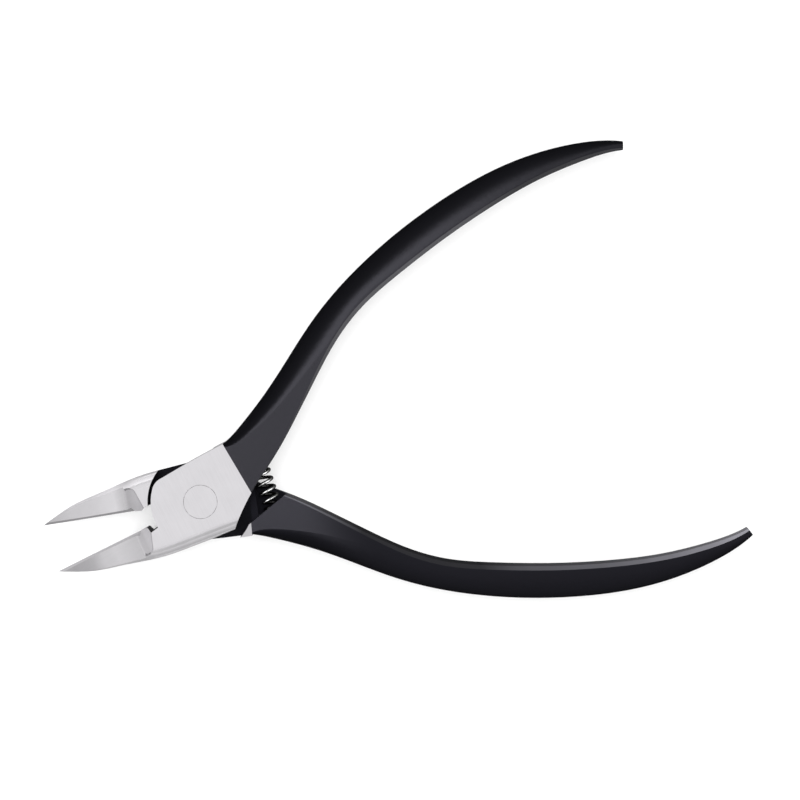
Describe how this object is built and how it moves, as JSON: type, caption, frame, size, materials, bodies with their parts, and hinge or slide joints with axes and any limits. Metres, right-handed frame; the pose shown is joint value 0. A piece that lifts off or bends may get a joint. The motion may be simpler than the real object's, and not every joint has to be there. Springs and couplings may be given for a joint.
{
  "type": "cuticle nipper",
  "caption": "Lap-joint nail and cuticle nipper with bare steel hollow-ground jaws, black coated bowed handles, a flush pivot rivet and a coil return spring.",
  "frame": {"origin": "on the pivot axis at the underside, where the closed face of the back lap and the rivet's end lie flat", "axes": "+X along the tool's axis towards the handles, +Y towards the front lever's handle, +Z through the thickness, out of the front lap"},
  "size_m": [0.1221, 0.081, 0.0076],
  "materials": {
    "lever_steel": "ground flat with a fine grain across the tool, jaw facets polished, recesses black",
    "black_coating": "satin",
    "rivet_steel": "ground flush with the lap",
    "spring_wire": "bright drawn wire"
  },
  "bodies": {
    "back_arm": {"back_lever": "lever_steel", "back_handle_coating": "black_coating", "pivot_rivet": "rivet_steel", "return_spring": "spring_wire"},
    "front_arm": {"front_lever": "lever_steel", "front_handle_coating": "black_coating"}
  },
  "joints": [
    {"name": "pivot", "type": "hinge", "parent": "back_arm", "child": "front_arm", "pos_m": [0, 0, 0.0038], "axis": [0, 0, -1], "range_deg": [0, 17.2], "stiffness_Nm_per_rad": 1.5, "deforming": ["return_spring"]}
  ]
}
